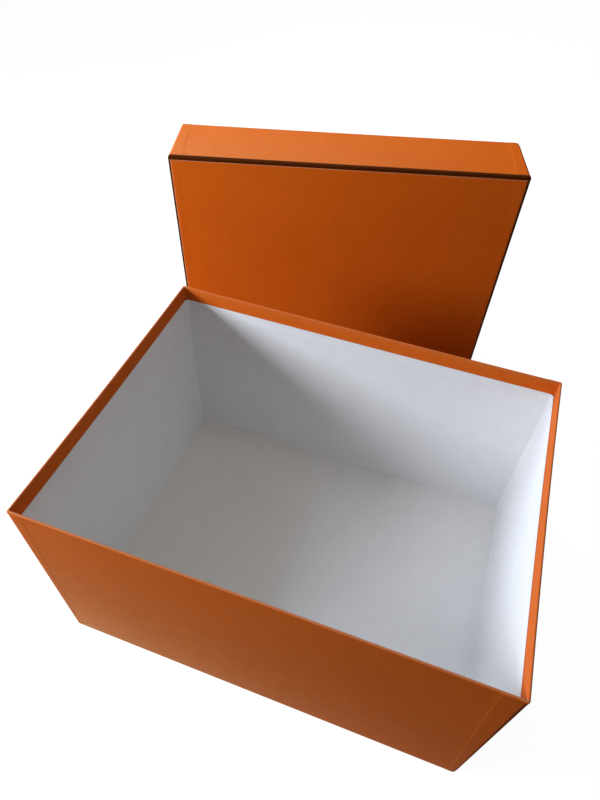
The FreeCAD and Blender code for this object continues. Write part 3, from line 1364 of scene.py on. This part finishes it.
    def wall_board(self, wall: Wall) -> tuple[np.ndarray, int]:
        """The board of one wall, rounded along its rim and at the tray's upright corners.

        Args:
            wall: The wall.

        Returns:
            Points of its rings from end to end, and the number of points in a ring.
        """
        length, width = self.spans(wall)
        outer, inner = self.paper + self.tape, self.paper + self.wall
        low, high = self.floor_top, self.height - self.paper
        rim = self.rim_fold - self.paper
        round_end = self.corner - outer
        angles = np.linspace(0.0, RIGHT_ANGLE, self.board_arc)
        levels = np.linspace(low, high - rim, self.board_levels)
        ring = [(outer, z) for z in levels]
        ring += [(outer + rim * (1 - math.cos(a)), high - rim + rim * math.sin(a)) for a in angles[1:]]
        ring += [(inner - rim + rim * math.sin(a), high - rim + rim * math.cos(a)) for a in angles]
        ring += [(inner, z) for z in levels[::-1][1:]]
        end = length - outer if wall.lapped else length - inner
        half = np.linspace(0.0, end - round_end, self.middle_columns + 1)
        half = np.concatenate((half, end - round_end + round_end * np.sin(angles[1:])))
        points = []
        for station in np.concatenate((-half[:0:-1], half)):
            past = max(0.0, abs(station) - (end - round_end))
            cut = round_end - math.sqrt(max(0.0, round_end ** 2 - past ** 2)) if wall.lapped else 0.0
            points += [(station, max(inset, outer + cut) - width, z) for inset, z in ring]
        return self.settled(np.array(points), wall), len(ring)

    def floor_board(self) -> bpy.types.Mesh:
        """The board under the tray's floor, rounded where the covering paper is folded round it.

        Returns:
            Its mesh.
        """
        shell = bmesh.new()
        bmesh.ops.create_cube(shell, size=2.0)
        half = Vector((self.half_x, self.half_y, 0.0)) - Vector((1, 1, 0)) * (self.paper + self.tape)
        skin = self.foot_level + self.paper
        for vertex in shell.verts:
            level = self.floor_top if vertex.co.z > 0 else skin
            vertex.co = Vector((vertex.co.x * half.x, vertex.co.y * half.y, level))
        upright = [e for e in shell.edges if abs(e.verts[0].co.z - e.verts[1].co.z) > 0]
        round_edges(shell, upright, self.corner - self.paper, segments=5)
        outer = [e for e in shell.edges if max(v.co.z for v in e.verts) <= skin]
        round_edges(shell, outer, self.foot_fold - self.paper, segments=4)
        for axis in (Vector((1, 0, 0)), Vector((0, 1, 0))):
            for side in (-1.0, 1.0):
                bmesh.ops.bisect_plane(
                    shell, geom=[*shell.verts, *shell.edges, *shell.faces],
                    plane_co=side * (axis.dot(half) - self.soft_reach) * axis, plane_no=axis)
        mesh = bpy.data.meshes.new(self.node(self.floor, "panel"))
        shell.to_mesh(mesh)
        shell.free()
        self.settle(mesh)
        return mesh

    def settle(self, mesh: bpy.types.Mesh, wall: Wall = Wall.LOW_Y) -> None:
        """Move a mesh that was built in the tray's frame to its place on a wall."""
        points = np.array([vertex.co for vertex in mesh.vertices])
        mesh.vertices.foreach_set("co", self.settled(points, wall).ravel())

    def add_piece(self, mesh: bpy.types.Mesh, node: str, finish: Finish, thickness: float = 0.0) -> None:
        """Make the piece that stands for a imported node.

        Args:
            mesh: Its mesh, in place.
            node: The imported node.
            finish: Its finish.
            thickness: How thick it is behind the mesh, if the mesh is only its visible face.
        """
        mesh.materials.clear()
        mesh.materials.append(self.materials[finish.slot])
        mesh.shade_smooth()
        piece = bpy.data.objects.new(mesh.name, mesh)
        bpy.context.scene.collection.objects.link(piece)
        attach(piece, self.body.value)
        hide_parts(node)
        log.info("%s stands for %s, %d faces", piece.name, node, len(mesh.polygons))
        if thickness > 0.0:
            solid = piece.modifiers.new("thickness", "SOLIDIFY")
            solid.thickness = thickness
            solid.offset = -1.0

    def make_boards(self) -> None:
        """Build the wall boards, the floor board and the corner tapes."""
        for wall, side in self.walls.items():
            mesh = tube(self.node(side, "panel"), *self.wall_board(wall))
            self.add_piece(mesh, self.node(side, "board"), GREYBOARD)
        self.add_piece(self.floor_board(), self.node(self.floor, "board"), GREYBOARD)
        tapes = corner_tapes(self.materials[KRAFT.slot]).mesh(
            self.node("corner", "tapes"), Half_Length=self.half_x - self.paper,
            Half_Width=self.half_y - self.paper, Corner_Radius=self.corner - self.paper, Leg=self.tape_leg,
            Low=self.foot_level + self.foot_fold, High=self.height - self.tape_end)
        self.settle(tapes)
        self.add_piece(tapes, self.node("corner", "stays"), KRAFT, self.tape * self.tape_share)

    def make_papers(self) -> None:
        """Build the covering sheets and the linings of the walls, and the lining of the floor."""
        for wall, side in self.walls.items():
            cover = grid_mesh(self.node(side, "cover"), self.cover(wall))
            self.add_piece(cover, self.node(side, "sheet"), ORANGE, self.paper)
            liner = grid_mesh(self.node(side, "liner"), self.lining(wall))
            self.add_piece(liner, self.node(side, "lining"), WHITE, self.paper)
        liner = laid_sheet(self.materials[WHITE.slot]).mesh(
            self.node(self.floor_lining, "liner"), Half_Length=self.half_x - self.rim + self.tuck,
            Half_Width=self.half_y - self.rim + self.tuck, Level=self.floor_top + self.paper,
            Edge_Slope=self.floor_curl, Edge_Curl=self.floor_curl, Cockle=self.floor_cockle, Seed=self.seed)
        self.settle(liner)
        self.add_piece(liner, self.node(self.floor_lining, "lining"), WHITE, self.paper)

    def add_outer_sheet(self, **sizes: float) -> None:
        """Make the sheet on the outer face of the floor's board.

        Args:
            sizes: Sizes of the laid sheet.
        """
        sheet = laid_sheet(self.materials[ORANGE.slot]).mesh(self.node(self.floor, "cover"), **sizes)
        turn_over(sheet)
        self.settle(sheet)
        self.add_piece(sheet, self.node(self.floor, "sheet"), ORANGE, self.paper)


@dataclass(kw_only=True)
class BaseBox(Tray):
    """The open base, with the sheet under it."""

    under_slope: float = 0.5 * MM

    def make_outer_sheet(self) -> None:
        """Build the sheet on the underside."""
        low, high = self.place.limits(self.node(self.floor, "sheet"))
        # The underside gets the painted reflection too
        self.add_outer_sheet(
            Half_Length=high[0], Half_Width=high[1], Level=-low[2], Edge_Slope=self.under_slope,
            Scuff=self.painted_reflection, Scuff_Lean=self.painted_reflection_lean, Seed=self.seed)


@dataclass(kw_only=True)
class LidBox(Tray):
    """The lid, with its edge bands and its top sheet over them."""

    band_lap: float = 8.0 * MM
    band_fold: float = 1.1 * MM
    top_slope: float = 5.0 * MM
    top_cockle: float = 0.7 * MM
    top_rubbed_edge: float = 1.8 * MM
    top_seed: float

    def make_outer_sheet(self) -> None:
        """Build the top sheet, raised where it lies over the bands."""
        low, high = self.place.limits(self.node(self.floor, "sheet"))
        end_margin = self.half_x + self.paper - high[0]
        side_margin = self.half_y + self.paper - high[1]
        self.add_outer_sheet(
            Half_Length=high[0], Half_Width=high[1], Level=-low[2] - self.paper, Edge_Rise=self.paper,
            End_Shelf=self.band_lap - end_margin, Side_Shelf=self.band_lap - side_margin,
            Edge_Slope=self.top_slope, Cockle=self.top_cockle, Rubbed_Edge=self.top_rubbed_edge,
            Seed=self.top_seed)

    def make_bands(self) -> None:
        """Build the four bands folded over the edges of the lid's top."""
        recipe = folded_band(self.materials[BROWN.slot])
        drop = self.place.limits("lid_back_band")[1][2] - self.paper
        for wall, side in self.walls.items():
            length, width = self.spans(wall)
            band = recipe.mesh(
                self.node(side, "edging"), Half_Length=length + self.paper, Half_Width=width + self.paper,
                Corner_Radius=self.corner + self.paper, Side_Drop=drop, Top_Lap=self.band_lap,
                Fold_Radius=self.band_fold, Top_Level=self.paper)
            self.settle(band, wall)
            self.add_piece(band, self.node(side, "band"), BROWN, self.paper)


# Studio


@dataclass(frozen=True)
class Lamp:
    """A soft rectangular lamp that faces a point."""

    name: str
    place: Point
    aim: Point
    width: float
    height: float
    power: float
    colour: Point

    def build(self) -> None:
        """Put the lamp in the scene."""
        light = bpy.data.lights.new(self.name, "AREA")
        light.shape = "RECTANGLE"
        light.size = self.width
        light.size_y = self.height
        light.energy = self.power
        light.color = self.colour
        lamp = bpy.data.objects.new(self.name, light)
        lamp.visible_camera = False
        lamp.location = self.place
        lamp.rotation_euler = (Vector(self.aim) - Vector(self.place)).to_track_quat("-Z", "Y").to_euler()
        bpy.context.scene.collection.objects.link(lamp)


@dataclass(frozen=True)
class Studio:
    """Camera at the photograph's viewing angle, soft light and a pale floor."""

    lamps: Sequence[Lamp]
    camera_place: Point = (0.0931, -0.3223, 0.6727)
    camera_tilt: float = math.radians(41.27)
    camera_roll: float = math.radians(-1.39)
    camera_heading: float = math.radians(19.80)
    lens: float = 27.29
    sensor: float = 36.0
    floor_half: float = 6.0
    sky: float = 0.092
    sky_colour: Colour = rgba(1.1, 0.99, 0.86)
    backdrop: Colour = rgba(1.0, 1.0, 1.0)

    def build(self) -> None:
        """Make the camera, the lamps, the world and the floor."""
        scene = bpy.context.scene
        camera = bpy.data.cameras.new("camera")
        camera.lens = self.lens
        camera.sensor_width = self.sensor
        camera.sensor_fit = "AUTO"
        holder = bpy.data.objects.new("camera", camera)
        holder.location = self.camera_place
        holder.rotation_euler = Euler((self.camera_tilt, self.camera_roll, self.camera_heading), "XYZ")
        scene.collection.objects.link(holder)
        scene.camera = holder
        scene.view_settings.view_transform = "Standard"
        for lamp in self.lamps:
            lamp.build()
        self.make_world(scene)
        self.make_floor(scene)

    def make_world(self, scene: bpy.types.Scene) -> None:
        """Even sky light, and white where the camera sees past the floor.

        Args:
            scene: The scene.
        """
        world = bpy.data.worlds.new("studio")
        world.use_nodes = True
        scene.world = world
        tree = world.node_tree
        tree.nodes.clear()
        sky = add_node(tree, "ShaderNodeBackground", {"Color": self.sky_colour, "Strength": self.sky})
        white = add_node(tree, "ShaderNodeBackground", {"Color": self.backdrop})
        inputs = {0: background_rays(tree), 1: sky.outputs[0], 2: white.outputs[0]}
        choice = add_node(tree, "ShaderNodeMixShader", inputs)
        add_node(tree, "ShaderNodeOutputWorld", {"Surface": choice.outputs[0]})

    def make_floor(self, scene: bpy.types.Scene) -> None:
        """A wide plain floor that the box stands on.

        Args:
            scene: The scene.
        """
        half = self.floor_half
        corners = [(-half, -half, 0), (half, -half, 0), (half, half, 0), (-half, half, 0)]
        mesh = bpy.data.meshes.new("floor")
        mesh.from_pydata(corners, [], [(0, 1, 2, 3)])
        mesh.materials.append(FLOOR.build())
        floor = bpy.data.objects.new("floor", mesh)
        scene.collection.objects.link(floor)


STUDIO = Studio(lamps=(
    Lamp("window", place=(-0.9, -0.46, 0.632), aim=(-0.3, 0.34, 0.632), width=0.18, height=0.37,
         power=10.9, colour=(0.93, 1.0, 1.11)),
    Lamp("near_window", place=(-0.9, -0.75, 0.632), aim=(0.0, -0.75, 0.632), width=0.3, height=0.37,
         power=5.2, colour=(0.95, 1.0, 1.08)),
    Lamp("far_window", place=(-0.9, 0.75, 0.967), aim=(0.0, 0.75, 0.967), width=1.0, height=0.3,
         power=13.3, colour=(0.87, 1.0, 1.22)),
    Lamp("behind", place=(-0.4, 1.15, 0.82), aim=(-0.07, 0.38, 0.32), width=0.8, height=0.35,
         power=5.2, colour=(1.02, 1.06, 0.82)),
    Lamp("top", place=(0.0, 0.1, 1.5), aim=(0.0, 0.06, 0.14), width=0.6, height=0.6,
         power=1.4, colour=(1.08, 1.02, 0.7)),
))


def main() -> None:
    """Build the base, the lid and the studio."""
    logging.basicConfig(level=logging.INFO, format="%(name)s: %(message)s")
    materials = {finish.slot: finish.build() for finish in (ORANGE, BROWN, WHITE, GREYBOARD, KRAFT)}
    low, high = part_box("base_bottom_sheet")
    paper = high.z - low.z
    base = BaseBox(
        body=Body.BASE, place=Place(Matrix.Identity(4)),
        walls={Wall.LOW_Y: "front", Wall.HIGH_Y: "back", Wall.LOW_X: "left", Wall.HIGH_X: "right"},
        floor="bottom", floor_lining="floor", paper=paper, materials=materials,
        turn_in=30 * MM, turn_under=16 * MM, foot_level=0.0, foot_fold=1.8 * MM, rim_fold=1.1 * MM,
        corner=2.4 * MM, seam_low=1.8 * MM, flap_rim=(14 * MM, 19.5 * MM), flap_foot=(4.6 * MM, 7 * MM),
        bow=(1.2 * MM, 0.5 * MM), soft_corners=(0.8 * MM, 1.5 * MM), rim_corners=False,
        painted_reflection=0.22, painted_reflection_lean=0.5, seed=3.0, floor_cockle=1.2 * MM)
    lid = LidBox(
        body=Body.LID, place=lid_place(),
        walls={Wall.LOW_Y: "back", Wall.HIGH_Y: "front", Wall.LOW_X: "left", Wall.HIGH_X: "right"},
        floor="top", floor_lining="top", paper=paper, materials=materials,
        turn_in=18 * MM, turn_under=7 * MM, foot_level=2 * paper, foot_fold=0.9 * MM, rim_fold=0.9 * MM,
        corner=2.0 * MM, seam_low=6.2 * MM, flap_rim=(12 * MM, 12 * MM), flap_foot=(16 * MM, 16 * MM),
        bow=(0.2 * MM, 0.3 * MM), soft_corners=(0.3 * MM, 1.2 * MM), rim_corners=True,
        painted_reflection=0.08, painted_reflection_lean=0.85, seed=40.0, top_seed=41.0, floor_cockle=1.0 * MM)
    for tray in (base, lid):
        tray.make_boards()
        tray.make_papers()
        tray.make_outer_sheet()
    lid.make_bands()
    STUDIO.build()


if __name__ == "__main__":
    main()
